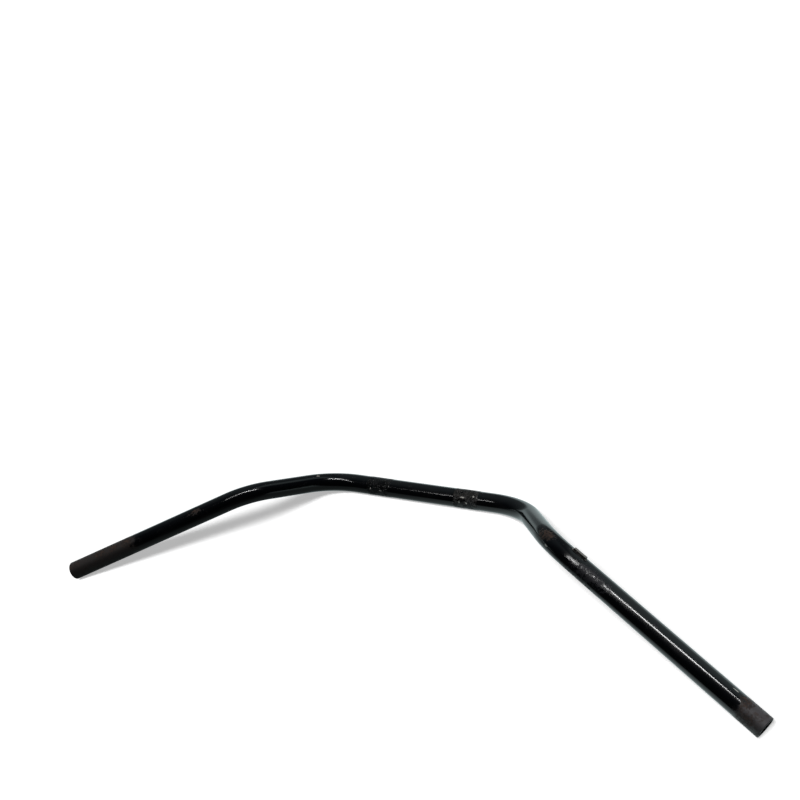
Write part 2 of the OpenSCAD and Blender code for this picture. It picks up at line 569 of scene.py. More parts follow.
class WearGroups:
    """The effects that the bar's materials share, each a node group that is built once.

    Every place that goes into a group is in millimetres.
    """

    def __init__(self) -> None:
        """Builds the groups."""
        self.speckle = self.build_speckle()
        self.worn_spot = self.build_worn_spot()
        self.rust_film = self.build_rust_film()
        self.paint_skin = self.build_paint_skin()
        self.scratches = self.build_scratches()

    @staticmethod
    def build_speckle() -> NodeTree:
        """Ragged spots that cover a share of the surface.

        Returns:
            The group.
        """
        graph, given, result = new_group(
            "Speckle",
            {
                "Size": (Kind.NUMBER, 1),
                "Cover": (Kind.NUMBER, 0.3),
                "Softness": (Kind.NUMBER, 0.04),
            },
            {"Mask": Kind.NUMBER},
        )
        scale = graph.math("DIVIDE", 1, given["Size"])
        value = graph.cloud(given["Place"], scale, 5, 0.62)
        edge = graph.math("SUBTRACT", 0.78, graph.times(given["Cover"], 0.56))
        low = graph.math("SUBTRACT", edge, given["Softness"])
        high = graph.math("ADD", edge, given["Softness"])
        graph.feed(result["Mask"], graph.step(value, low, high))
        return graph.tree

    @staticmethod
    def build_worn_spot() -> NodeTree:
        """One patch round a centre, with a ragged edge.

        Returns:
            The group.
        """
        graph, given, result = new_group(
            "Worn spot",
            {
                "Centre": (Kind.VECTOR, (0, 0, 0)),
                "Reach": (Kind.VECTOR, (5, 5, 5)),
                "Raggedness": (Kind.NUMBER, 0.6),
                "Grain": (Kind.NUMBER, 0.3),
            },
            {"Mask": Kind.NUMBER},
        )
        offset = graph.vector("SUBTRACT", given["Place"], given["Centre"])
        share = graph.vector("LENGTH", graph.vector("DIVIDE", offset, given["Reach"]))
        ragging = graph.cloud(given["Place"], given["Grain"], 6, 0.65)
        rough = graph.math("SUBTRACT", ragging, 0.5)
        ragged = graph.math("MULTIPLY_ADD", rough, given["Raggedness"], share)
        inside = graph.without(graph.step(ragged, 0.62, 1.05))
        graph.feed(result["Mask"], inside)
        return graph.tree

    @staticmethod
    def build_rust_film() -> NodeTree:
        """Rust from near black through brown to orange, with a crust.

        Returns:
            The group.
        """
        graph, given, result = new_group(
            "Rust film",
            {
                "Grain": (Kind.NUMBER, 0.5),
                "Dark": (Kind.COLOUR, (0.006, 0.0045, 0.0042, 1)),
                "Fresh": (Kind.COLOUR, (0.034, 0.019, 0.013, 1)),
            },
            {"Colour": Kind.COLOUR, "Dullness": Kind.NUMBER, "Height": Kind.NUMBER},
        )
        place = given["Place"]
        broad = graph.cloud(place, given["Grain"], 5, 0.6)
        fine = graph.cloud(place, graph.times(given["Grain"], 6), 4, 0.6)
        both = graph.math("MULTIPLY_ADD", graph.math("SUBTRACT", fine, 0.5), 0.6, broad)
        share = graph.step(both, 0.36, 0.72)
        graph.feed(result["Colour"], graph.tint(share, given["Dark"], given["Fresh"]))
        graph.feed(result["Dullness"], graph.blend(fine, 0.55, 0.95))
        graph.feed(result["Height"], both)
        return graph.tree

    @staticmethod
    def build_paint_skin() -> NodeTree:
        """Sprayed paint: a faint orange peel, handling haze and dust.

        Returns:
            The group.
        """
        graph, given, result = new_group(
            "Paint skin",
            {
                "Peel": (Kind.NUMBER, 0.6),
                "Haze": (Kind.NUMBER, 0.5),
            },
            {"Haze mask": Kind.NUMBER, "Height": Kind.NUMBER},
        )
        place = given["Place"]
        wide = graph.vector("MULTIPLY", place, (0.35, 1, 1))
        haze = graph.step(graph.cloud(wide, 0.09, 5, 0.6), 0.46, 0.74)
        wipes = graph.cloud(graph.vector("MULTIPLY", place, (0.12, 1, 1)), 0.9, 3, 0.6)
        dust = graph.step(graph.cloud(place, 3.2, 2, 0.5), 0.66, 0.74)
        mask = graph.times(haze, graph.blend(wipes, 0.35, 1.3))
        mask = graph.math("MULTIPLY_ADD", dust, 0.35, mask)
        mask = graph.math("MULTIPLY", mask, given["Haze"], clamp=True)
        peel = graph.times(graph.cloud(place, 0.55, 2, 0.5), given["Peel"])
        graph.feed(result["Haze mask"], mask)
        graph.feed(result["Height"], peel)
        return graph.tree

    @staticmethod
    def build_scratches() -> NodeTree:
        """Thin scratches, drawn out along the first axis of the place.

        Returns:
            The group.
        """
        graph, given, result = new_group(
            "Scratches",
            {
                "Fineness": (Kind.NUMBER, 1.2),
                "Stretch": (Kind.NUMBER, 0.06),
                "Cover": (Kind.NUMBER, 0.3),
            },
            {"Mask": Kind.NUMBER},
        )
        parts = graph.node("CombineXYZ")
        graph.feed(parts.inputs[0], given["Stretch"])
        graph.feed(parts.inputs[1], 1.0)
        graph.feed(parts.inputs[2], 1.0)
        drawn = graph.vector("MULTIPLY", given["Place"], parts.outputs[0])
        value = graph.cloud(drawn, given["Fineness"], 2, 0.5)
        line = graph.math("ABSOLUTE", graph.math("SUBTRACT", value, 0.5))
        thin = graph.without(graph.step(line, 0.002, 0.009))
        field_mask = graph.cloud(given["Place"], 0.16, 3, 0.6)
        edge = graph.math("SUBTRACT", 0.75, graph.times(given["Cover"], 0.5))
        where = graph.step(field_mask, edge, graph.math("ADD", edge, 0.08))
        graph.feed(result["Mask"], graph.times(thin, where))
        return graph.tree


# Finishes


def new_material(name: str) -> tuple[Material, Graph, Node]:
    """An empty node material.

    Args:
        name: the material's name.

    Returns:
        The material, its graph and its Principled BSDF.
    """
    material = bpy.data.materials.new(name)
    material.use_nodes = True
    material.node_tree.nodes.clear()
    graph = Graph(material.node_tree)
    shader = graph.node("BsdfPrincipled")
    output = graph.node("OutputMaterial")
    graph.feed(output.inputs["Surface"], shader.outputs["BSDF"])
    return material, graph, shader


def straight_place(graph: Graph) -> NodeSocket:
    """The place on the tube as if it were straight, in millimetres."""
    read = graph.node("Attribute", attribute_name=STRAIGHT_PLACE)
    return graph.scaled(read.outputs["Vector"], 1 / MM)


@dataclass(frozen=True)
class Patch:
    """A worn place on the straightened tube, in millimetres: along, over the top and nearside."""

    along: float
    angle: float
    reach: tuple[float, float]
    raggedness: float = 2.6
    grain: float = 0.25

    def centre(self, radius: float) -> Triple:
        """The patch's centre on the straightened tube."""
        turn = math.radians(self.angle)
        return self.along, radius * math.cos(turn), radius * math.sin(turn)


@dataclass(frozen=True)
class BarPaint:
    """Black gloss paint on the tube, with its worn ends, clamp bands and patches.

    Its lengths are in millimetres along the tube. A border is where a worn stretch starts to show
    and where it shows in full, and it wanders to and fro round the tube.
    """

    groups: WearGroups
    paint: Colour = (0.0012, 0.0015, 0.0022)
    haze: Colour = (0.0055, 0.0056, 0.0065)
    worn: Colour = (0.0165, 0.0140, 0.0138)
    worn_right: Colour = (0.034, 0.031, 0.033)
    rubbed_band: Colour = (0.0062, 0.0052, 0.0044)
    dulled: Colour = (0.0042, 0.0040, 0.0066)
    steel: Colour = (0.55, 0.53, 0.49)
    tube_radius: float = 11.1
    left_border: Range = (386, 404)
    left_wander: float = 60
    right_border: Range = (458, 472)
    right_wander: float = 34
    band_start: Range = (41.6, 43.0)
    band_end: Range = (72.0, 73.6)
    band_wander: float = 2.5
    band_middle: Range = (-40, 40)
    band_rubbing: Range = (0.3, 0.75)
    clean_roughness: Range = (0.13, 0.18)
    dull_roughness: float = 0.6
    end_roughness: float = 0.55
    band_roughness: float = 0.42
    bare_roughness: float = 0.32
    relief: float = 0.35
    relief_depth: float = 0.05 * MM
    rust_patches: tuple[Patch, ...] = (
        Patch(224, 14, (7, 6), 3.6, 0.35),
        Patch(230, -4, (7, 6), 3.6, 0.35),
        Patch(-442, 8, (9, 7)),
        Patch(-421, 4, (8, 6)),
        Patch(-402, 12, (10, 7)),
        Patch(-300, 10, (9, 3.5), 4, 0.3),
        Patch(467, -24, (8, 6)),
        Patch(474, 40, (10, 8)),
    )
    dull_patches: tuple[Patch, ...] = (
        Patch(288, 16, (22, 8), 3, 0.22),
        Patch(282, 82, (24, 6), 3, 0.22),
        Patch(309.5, -8, (3.5, 3), 1.6, 0.5),
        Patch(366, -20, (3.5, 3), 1.6, 0.5),
    )
    chips: tuple[Patch, ...] = (
        Patch(235, 49, (2.0, 1.3), 1.6, 0.9),
        Patch(-143.5, -10, (2.2, 0.9), 1.6, 0.9),
        Patch(453.4, -37, (3.2, 0.6), 1.2, 0.9),
        Patch(54.5, 30, (2.6, 1.3), 1.6, 0.8),
        Patch(67.5, 18, (1.4, 1.0), 1.6, 0.9),
        Patch(50.5, 62, (1.3, 1.6), 1.6, 0.9),
        Patch(59.5, 64, (1.3, 1.6), 1.6, 0.9),
        Patch(-54, 64, (2.0, 1.0), 1.6, 0.9),
        Patch(-67.5, 60, (0.9, 1.2), 1.6, 0.9),
    )

    def spots(self, graph: Graph, place: object, patches: Sequence[Patch]) -> NodeSocket:
        """One mask for several patches.

        Args:
            graph: the material's graph.
            place: the place on the straightened tube.
            patches: the patches.

        Returns:
            The mask.
        """
        masks = []
        for patch in patches:
            along, across = patch.reach
            mask = graph.mask(
                self.groups.worn_spot,
                Place=place,
                Centre=patch.centre(self.tube_radius),
                Reach=(along, across, across),
                Raggedness=patch.raggedness,
                Grain=patch.grain,
            )
            masks.append(mask)
        return graph.most(*masks)

    def stretches(self, graph: Graph, place: object) -> tuple[NodeSocket, ...]:
        """Masks of the worn stretches.

        Args:
            graph: the material's graph.
            place: the place on the straightened tube.

        Returns:
            The left end, the right end, the clamp bands and how much each band is rubbed.
        """
        along = graph.part(place, 0)
        wobble = graph.math("SUBTRACT", graph.cloud(place, 0.13, 5, 0.65), 0.5)
        left = graph.math("MULTIPLY_ADD", wobble, self.left_wander, graph.times(along, -1))
        right = graph.math("MULTIPLY_ADD", wobble, self.right_wander, along)
        off_middle = graph.math("ABSOLUTE", along)
        fuzzy = graph.math("MULTIPLY_ADD", wobble, self.band_wander, off_middle)
        past_band = graph.step(fuzzy, *self.band_end)
        band = graph.times(graph.step(fuzzy, *self.band_start), graph.without(past_band))
        by_side = graph.blend(graph.step(along, *self.band_middle), *self.band_rubbing)
        return graph.step(left, *self.left_border), graph.step(right, *self.right_border), band, by_side

    def build(self) -> Material:
        """The material.

        Returns:
            The material.
        """
        material, graph, shader = new_material("worn black paint")
        speckle, place = self.groups.speckle, straight_place(graph)
        left_end, right_end, band, by_side = self.stretches(graph, place)
        ends = graph.most(left_end, right_end)
        skin = graph.placed(self.groups.paint_skin, Place=place, Peel=0.18, Haze=0.7)
        rust = graph.placed(self.groups.rust_film, Place=place, Grain=0.4)
        mottle = graph.mask(speckle, Place=place, Size=2.6, Cover=0.62, Softness=0.07)
        dull = graph.times(self.spots(graph, place, self.dull_patches), mottle)
        rubbing = graph.mask(speckle, Place=place, Size=3, Cover=0.62, Softness=0.1)
        band_wear = graph.times(band, by_side, rubbing)
        freckles = graph.mask(speckle, Place=place, Size=1.8, Cover=0.28)
        blotches = graph.mask(speckle, Place=place, Size=7, Cover=0.42)
        pinholes = graph.mask(speckle, Place=place, Size=0.9, Cover=0.05, Softness=0.02)
        glints = graph.mask(speckle, Place=place, Size=1.3, Cover=0.12, Softness=0.03)
        scratch = graph.mask(self.groups.scratches, Place=place, Fineness=0.9, Stretch=0.07, Cover=0.3)
        rust_cover = graph.most(
            graph.times(self.spots(graph, place, self.rust_patches), mottle, 0.85),
            graph.times(ends, blotches, 0.55),
            graph.times(band, freckles, 0.35),
            graph.times(pinholes, 0.7),
        )
        bare = graph.most(self.spots(graph, place, self.chips), graph.times(band, glints, 0.4))
        bare = graph.math("MULTIPLY_ADD", scratch, 0.06, bare, clamp=True)

        base = graph.tint(skin.outputs["Haze mask"], self.paint, self.haze)
        base = graph.tint(dull, base, self.dulled)
        base = graph.tint(left_end, base, self.worn)
        base = graph.tint(right_end, base, self.worn_right)
        base = graph.tint(band_wear, base, self.rubbed_band)
        base = graph.tint(rust_cover, base, rust.outputs["Colour"])
        graph.feed(shader.inputs["Base Color"], graph.tint(bare, base, self.steel))

        gloss = graph.blend(skin.outputs["Haze mask"], *self.clean_roughness)
        gloss = graph.blend(dull, gloss, self.dull_roughness)
        gloss = graph.blend(ends, gloss, self.end_roughness)
        gloss = graph.blend(band_wear, gloss, self.band_roughness)
        gloss = graph.blend(rust_cover, gloss, rust.outputs["Dullness"])
        graph.feed(shader.inputs["Roughness"], graph.blend(bare, gloss, self.bare_roughness))
        graph.feed(shader.inputs["Metallic"], graph.times(bare, 0.85))

        crust = graph.times(rust_cover, rust.outputs["Height"])
        height = graph.math("MULTIPLY_ADD", crust, 1.2, skin.outputs["Height"])
        worn_grain = graph.times(graph.most(ends, band), graph.cloud(place, 1.6, 4, 0.6))
        height = graph.math("MULTIPLY_ADD", worn_grain, 0.9, height)
        height = graph.math("MULTIPLY_ADD", bare, -0.8, height)
        graph.relief(shader, height, self.relief, self.relief_depth)
        return material


@dataclass(frozen=True)
class BoreRust:
    """Bare steel inside the tube, rusted brown all over."""

    groups: WearGroups
    dark: Colour = (0.007, 0.005, 0.0045)
    fresh: Colour = (0.05, 0.022, 0.013)
    relief: float = 0.6
    relief_depth: float = 0.2 * MM

    def build(self) -> Material:
        """The material.

        Returns:
            The material.
        """
        material, graph, shader = new_material("rusty bore")
        place = straight_place(graph)
        film = self.groups.rust_film
        rust = graph.placed(film, Place=place, Grain=0.7, Dark=self.dark, Fresh=self.fresh)
        graph.feed(shader.inputs["Base Color"], rust.outputs["Colour"])
        graph.feed(shader.inputs["Roughness"], rust.outputs["Dullness"])
        graph.relief(shader, rust.outputs["Height"], self.relief, self.relief_depth)
        return material


@dataclass(frozen=True)
class TabPaint:
    """Black paint on the stop tab or on its welds, rubbed through on what stands out, with a painted
    highlight on its edges and on its upward faces.
    """

    groups: WearGroups
    name: str
    paint: Colour = (0.0018, 0.0018, 0.0022)
    haze: Colour = (0.0065, 0.0066, 0.0075)
    # Light grey where the paint is rubbed through on edges and tops, which is also a painted highlight there
    rubbed_and_highlit: Colour = (0.16, 0.155, 0.145)
    rub_and_highlight: float = 0.5
    rust_cover: float = 0.2
    clean_roughness: Range = (0.2, 0.38)
    rubbed_roughness: float = 0.42
    relief: float = 0.4
    relief_depth: float = 0.08 * MM

    def build(self) -> Material:
        """The material.

        Returns:
            The material.
        """
        material, graph, shader = new_material(self.name)
        place = graph.scaled(graph.node("TexCoord").outputs["Object"], 1 / MM)
        skin = graph.placed(self.groups.paint_skin, Place=place, Peel=0.5, Haze=0.6)
        rust = graph.placed(self.groups.rust_film, Place=place, Grain=0.8)
        spots = graph.mask(self.groups.speckle, Place=place, Size=1.6, Cover=self.rust_cover)
        shape = graph.node("NewGeometry")
        # Edges and upward faces are lightened: partly paint rubbed through, partly a painted highlight along
        # the tab's top
        ridge = graph.step(shape.outputs["Pointiness"], 0.515, 0.57)
        uneven = graph.times(ridge, graph.cloud(place, 1.2, 4, 0.6))
        upward = graph.step(graph.part(shape.outputs["Normal"], 2), 0.6, 0.85)
        top_highlight_and_wear = graph.times(upward, graph.blend(graph.cloud(place, 0.9, 4, 0.6), 0.3, 1.0))
        rubbed_and_highlit = graph.most(graph.math("MULTIPLY", uneven, 2 * self.rub_and_highlight, clamp=True), top_highlight_and_wear)
        base = graph.tint(skin.outputs["Haze mask"], self.paint, self.haze)
        base = graph.tint(graph.times(spots, 0.7), base, rust.outputs["Colour"])
        base = graph.tint(rubbed_and_highlit, base, self.rubbed_and_highlit)
        graph.feed(shader.inputs["Base Color"], base)
        gloss = graph.blend(skin.outputs["Haze mask"], *self.clean_roughness)
        gloss = graph.blend(spots, gloss, rust.outputs["Dullness"])
        graph.feed(shader.inputs["Roughness"], graph.blend(rubbed_and_highlit, gloss, self.rubbed_roughness))
        height = graph.math("MULTIPLY_ADD", spots, 0.6, skin.outputs["Height"])
        graph.relief(shader, height, self.relief, self.relief_depth)
        return material


# The pieces


@dataclass
class BarTube:
    """The bent tube, with knurled clamp bands, deburred rims and an open bore."""

    line: CentreLine
    paint: Material
    bore_look: Material
    wall: float = 2 * MM
    mouth_chamfer: float = 0.4 * MM
    clamp_spacing: float = 115 * MM
    knurl_length: float = 30 * MM
    knurl_teeth: int = 60
    knurl_depth: float = 0.35 * MM
    knurl_ramp: float = 0.2 * MM
    knurl_step: float = 1 * MM
    straight_step: float = 20 * MM
    worn_flat: float = 0.16 * MM
    filled_groove: float = 0.16 * MM
    wear_length: float = 6 * MM
    wear_turn: float = 2.2
    fine_wear: float = 3.1
    rim_steps: int = 6
    sharp: float = math.radians(38)

    @property
    def bore_radius(self) -> float:
        """Radius of the bore."""
        return self.line.tube_radius - self.wall

    @property
    def band(self) -> tuple[float, float]:
        """Where the right clamp band starts and ends along the tube."""
        middle = self.clamp_spacing / 2
        return middle - self.knurl_length / 2, middle + self.knurl_length / 2

    def angles(self) -> list[tuple[float, bool]]:
        """Angles of a ring's vertices.

        Returns:
            The angles, each with whether it is at a groove's bottom.
        """
        pitch = 2 * math.pi / self.knurl_teeth
        half_groove = self.knurl_depth / self.line.crest_radius
        found = []
        for tooth in range(self.knurl_teeth):
            start = tooth * pitch
            found.append((start, False))
            found.append((start + pitch / 2 - half_groove, False))
            found.append((start + pitch / 2, True))
            found.append((start + pitch / 2 + half_groove, False))
        return found

    def bend_places(self, step: float) -> list[float]:
        """Places along the two bends.

        Args:
            step: the angle from one to the next.

        Returns:
            The places.
        """
        line = self.line
        first = line.centre_length / 2
        second = first + line.bend_radius * line.inner_bend + line.riser_length
        reach = step * line.bend_radius
        return [
            *spread(first, first + line.bend_radius * line.inner_bend, reach),
            *spread(second, second + line.bend_radius * line.outer_bend, reach),
        ]

    def outer_places(self) -> list[float]:
        """Places of the rings of the outside.

        Returns:
            The places, from the middle to the rim.
        """
        start, end = self.band
        rim = self.line.half_length - self.line.rim_round
        margin = self.knurl_ramp
        places = [
            *spread(0, start - margin, self.straight_step),
            start,
            *spread(start + margin, end - margin, self.knurl_step),
            end,
            end + margin,
            *self.bend_places(self.line.bend_step),
            *spread(self.line.grip_start, rim - margin, self.straight_step),
            rim,
        ]
        return sorted(set(places))

    def tooth_radius(self, along: float, angle: float, groove: bool) -> float:
        """Radius of a clamp band's vertex, where the teeth are worn flat and the grooves fill.

        Args:
            along: place along the tube, with its sign.
            angle: angle round the tube.
            groove: whether the vertex is at a groove's bottom.

        Returns:
            The radius.
        """
        turn = self.wear_turn
        place = Vector((along / self.wear_length, turn * math.cos(angle), turn * math.sin(angle)))
        wear = 0.5 + 0.9 * noise.noise(place) + 0.45 * noise.noise(place * self.fine_wear)
        wear = min(max(wear, 0), 1)
        if groove:
            return self.line.crest_radius - self.knurl_depth + self.filled_groove * wear
        return self.line.crest_radius - self.worn_flat * wear

    def outer_radius(self, along: float, angle: float, groove: bool) -> float:
        """Radius of a vertex of the outside.

        Args:
            along: place along the tube, with its sign.
            angle: angle round the tube.
            groove: whether the vertex is at a groove's bottom.

        Returns:
            The radius.
        """
        start, end = self.band
        if start < abs(along) < end:
            return self.tooth_radius(along, angle, groove)
        return self.line.tube_radius

    def add_ring(
        self,
        draft: MeshDraft,
        station: Station,
        radius: Callable[[float, float, bool], float],
    ) -> list[int]:
        """Adds a ring of the tube to the draft.

        Args:
            draft: the mesh.
            station: where the ring is.
            radius: gives the radius from the place along, the angle and whether it is a groove.

        Returns:
            The ring's vertices.
        """
        points, places = [], []
        for angle, groove in self.angles():
            reach = radius(station.along, angle, groove)
            points.append(station.point(reach, angle))
            places.append(Vector((station.along, reach * math.cos(angle), reach * math.sin(angle))))
        return draft.ring(points, places)

    def rim_profile(self) -> list[tuple[float, float]]:
        """The rings past the last plain one, round the rim and into the mouth.

        Returns:
            Their places from the open end, and their radii.
        """
        line = self.line
        profile = []
        for i in range(1, self.rim_steps + 1):
            turn = i / self.rim_steps * math.pi / 2
            profile.append((
                line.rim_round * (math.sin(turn) - 1),
                line.tube_radius - line.rim_round * (1 - math.cos(turn)),
            ))
        profile.append((0, self.bore_radius + self.mouth_chamfer))
        profile.append((-self.mouth_chamfer, self.bore_radius))
        return profile

    def half(self, draft: MeshDraft, side: Side) -> tuple[list[int], list[int]]:
        """Adds one half of the tube.

        Args:
            draft: the mesh.
            side: which half.

        Returns:
            The outer ring and the bore's ring at the bar's middle.
        """
        line = self.line
        outside = [
            self.add_ring(draft, station.on_side(side), self.outer_radius)
            for station in line.stations(self.outer_places())
        ]
        for one, other in zip(outside, outside[1:]):
            draft.bridge(one, other, 0)
        last = outside[-1]
        end = line.stations([line.half_length])[0]
        for i, (offset, radius) in enumerate(self.rim_profile()):
            centre = end.centre + end.way * offset
            moved = Station(line.half_length + offset, centre, end.way, end.over, end.near)
            ring = self.add_ring(draft, moved.on_side(side), lambda *_, r=radius: r)
            draft.bridge(last, ring, 0 if i <= self.rim_steps else 1)
            last = ring
        inner_places = sorted({0.0, *self.bend_places(2 * line.bend_step)})
        inside = [
            self.add_ring(draft, station.on_side(side), lambda *_: self.bore_radius)
            for station in line.stations(inner_places)
        ]
        draft.bridge(last, inside[-1], 1)
        for one, other in zip(inside, inside[1:]):
            draft.bridge(one, other, 1)
        return outside[0], inside[0]

    def build(self) -> Object:
        """The tube's piece.

        Returns:
            The object.
        """
        draft = MeshDraft()
        self.half(draft, Side.LEFT)
        self.half(draft, Side.RIGHT)
        piece = draft.to_object("handlebar_tube", [self.paint, self.bore_look], self.sharp)
        shape = bmesh.new()
        shape.from_mesh(piece.data)
        bmesh.ops.remove_doubles(shape, verts=shape.verts, dist=0.001 * MM)
        bmesh.ops.recalc_face_normals(shape, faces=shape.faces)
        shape.to_mesh(piece.data)
        shape.free()
        piece.data.set_sharp_from_angle(angle=self.sharp)
        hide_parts("bar_tube")
        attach(piece, "root")
        return piece


@dataclass
class TabSeat:
    """Where the stop tab stands: its middle on the tube's surface and its three directions."""

    line: CentreLine
    length: float = 16 * MM
    setback: float = -2 * MM
    turn: float = math.radians(180 + 119)

    def matrix(self) -> Matrix:
        """The seat's own axes: X away from the tube, Y along it.

        Returns:
            The matrix from the seat's axes to the part's frame.
        """
        line = self.line
        along = line.grip_start + self.setback + self.length / 2
        centre, way = line.bending_place(along)
        outside = -line.grip_inside
        square = outside.cross(way)
        out = outside * math.cos(self.turn) - square * math.sin(self.turn)
        out, way = line.laid_down(out).normalized(), line.laid_down(way).normalized()
        foot = line.laid_down(centre) + out * line.tube_radius
        across = out.cross(way)
        columns = Matrix((out, way, across)).transposed()
        return Matrix.Translation(foot) @ columns.to_4x4()


@dataclass
class StopTab:
    """A small plate that stands on the right arm beside the throttle housing."""

    seat: TabSeat
    look: Material
    thickness: float = 3.2 * MM
    height: float = 3 * MM
    corner: float = 0.6 * MM
    root: float = 0.35 * MM
    edge_round: float = 0.14 * MM
    corner_steps: int = 6
    round_steps: int = 3
    crease: float = math.radians(40)
    sharp: float = math.radians(50)

    def outline(self) -> list[tuple[float, float]]:
        """The plate's outline.

        Returns:
            The heights of its corners, and their places along the tube.
        """
        half = self.seat.length / 2
        found = [(-self.root, -half)]
        for side in (-1, 1):
            for i in range(self.corner_steps + 1):
                turn = i / self.corner_steps * math.pi / 2
                if side > 0:
                    turn = math.pi / 2 - turn
                high = self.height - self.corner + self.corner * math.sin(turn)
                out = half - self.corner + self.corner * math.cos(turn)
                found.append((high, side * out))
        found.append((-self.root, half))
        return found

    def build(self) -> Object:
        """The tab's piece.

        Returns:
            The object.
        """
        shape = bmesh.new()
        rows = [
            [shape.verts.new((high, along, side * self.thickness / 2)) for high, along in self.outline()]
            for side in (-1, 1)
        ]
        for row in rows:
            shape.faces.new(row)
        count = len(rows[0])
        for i in range(count):
            after = (i + 1) % count
            shape.faces.new((rows[0][i], rows[0][after], rows[1][after], rows[1][i]))
        bmesh.ops.recalc_face_normals(shape, faces=shape.faces)
        edges = [edge for edge in shape.edges if edge.calc_face_angle(0) > self.crease]
        bmesh.ops.bevel(
            shape,
            geom=edges,
            offset=self.edge_round,
            segments=self.round_steps,
            profile=0.5,
            affect="EDGES",
        )
        bmesh.ops.transform(shape, matrix=self.seat.matrix(), verts=shape.verts)
        mesh = mesh_of(shape, "throttle_stop_tab", self.look)
        piece = finished_object("throttle_stop_tab", mesh, self.sharp)
        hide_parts("stop_tab")
        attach(piece, "root")
        return piece


@dataclass
class TabWelds:
    """The lumpy tack weld at each end of the stop tab's foot."""

    seat: TabSeat
    look: Material
    radius: float = 2 * MM
    lump: float = 0.28 * MM
    ripple: float = 0.1 * MM
    ripples: float = 3.2
    ripple_lean: float = 0.8
    lump_sizes: Range = (1.4, 3.3)
    difference: float = 7
    flatness: float = 0.92
    ball_steps: int = 5
    sharp: float = math.radians(70)

    def swollen(self, unit: Vector, side: int) -> Vector:
        """A point of a weld from a point of the unit ball.

        Args:
            unit: the point of the unit ball.
            side: -1 or 1 for the weld nearer the bend or the grip.

        Returns:
            The point in the seat's axes.
        """
        broad, fine = self.lump_sizes
        apart = Vector((self.difference * side, 0, 0))
        bumps = noise.noise(unit * broad + apart) + 0.5 * noise.noise(unit * fine)
        wave = math.sin(self.ripples * 2 * math.pi * (unit.z + 1) / 2 + self.ripple_lean * unit.x)
        reach = self.radius - self.lump + self.lump * bumps + self.ripple * wave
        foot = side * self.seat.length / 2
        return Vector((unit.x * reach * self.flatness, foot + unit.y * reach, unit.z * reach))

    def build(self) -> Object:
        """The welds' piece.

        Returns:
            The object.
        """
        shape = bmesh.new()
        for side in (-1, 1):
            ball = bmesh.ops.create_icosphere(shape, subdivisions=self.ball_steps, radius=1)["verts"]
            for vert in ball:
                vert.co = self.swollen(vert.co.copy(), side)
        bmesh.ops.transform(shape, matrix=self.seat.matrix(), verts=shape.verts)
        mesh = mesh_of(shape, "tab_weld_beads", self.look)
        piece = finished_object("tab_weld_beads", mesh, self.sharp)
        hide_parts("tab_welds")
        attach(piece, "root")
        return piece


# The studio


@dataclass
class PhotoCamera:
    """The photograph's viewpoint, fitted to the bar's outline."""

    place: Triple = (0.4680745, -0.6216146, 0.8138827)
    turn: float = 0.6314
    drop: float = 0.7058
    roll: float = -0.3475
    focal_pixels: float = 932.1765
    image_pixels: float = 800
    sensor: float = 36

    def build(self) -> Object:
        """The scene's camera.

        Returns:
            The camera object.
        """
        ahead = Vector((
            -math.sin(self.turn) * math.cos(self.drop),
            math.cos(self.turn) * math.cos(self.drop),
            -math.sin(self.drop),
        ))
        level = Vector((math.cos(self.turn), math.sin(self.turn), 0))
        upright = level.cross(ahead)
        right = math.cos(self.roll) * level + math.sin(self.roll) * upright
        top = math.cos(self.roll) * upright - math.sin(self.roll) * level
        data = bpy.data.cameras.new("photo_camera")
        data.sensor_width = self.sensor
        data.lens = self.focal_pixels / self.image_pixels * self.sensor
        data.clip_start = 0.01
        camera = bpy.data.objects.new("photo_camera", data)
        columns = Matrix((right, top, -ahead)).transposed()
        camera.matrix_world = Matrix.Translation(self.place) @ columns.to_4x4()
        bpy.context.scene.collection.objects.link(camera)
        bpy.context.scene.camera = camera
        return camera


@dataclass(frozen=True)
class Strip:
    """One part of the long strip light: its two ends in plan and its radiance."""

    start: tuple[float, float]
    end: tuple[float, float]
    radiance: float
    height: float = 3
    width: float = 0.09


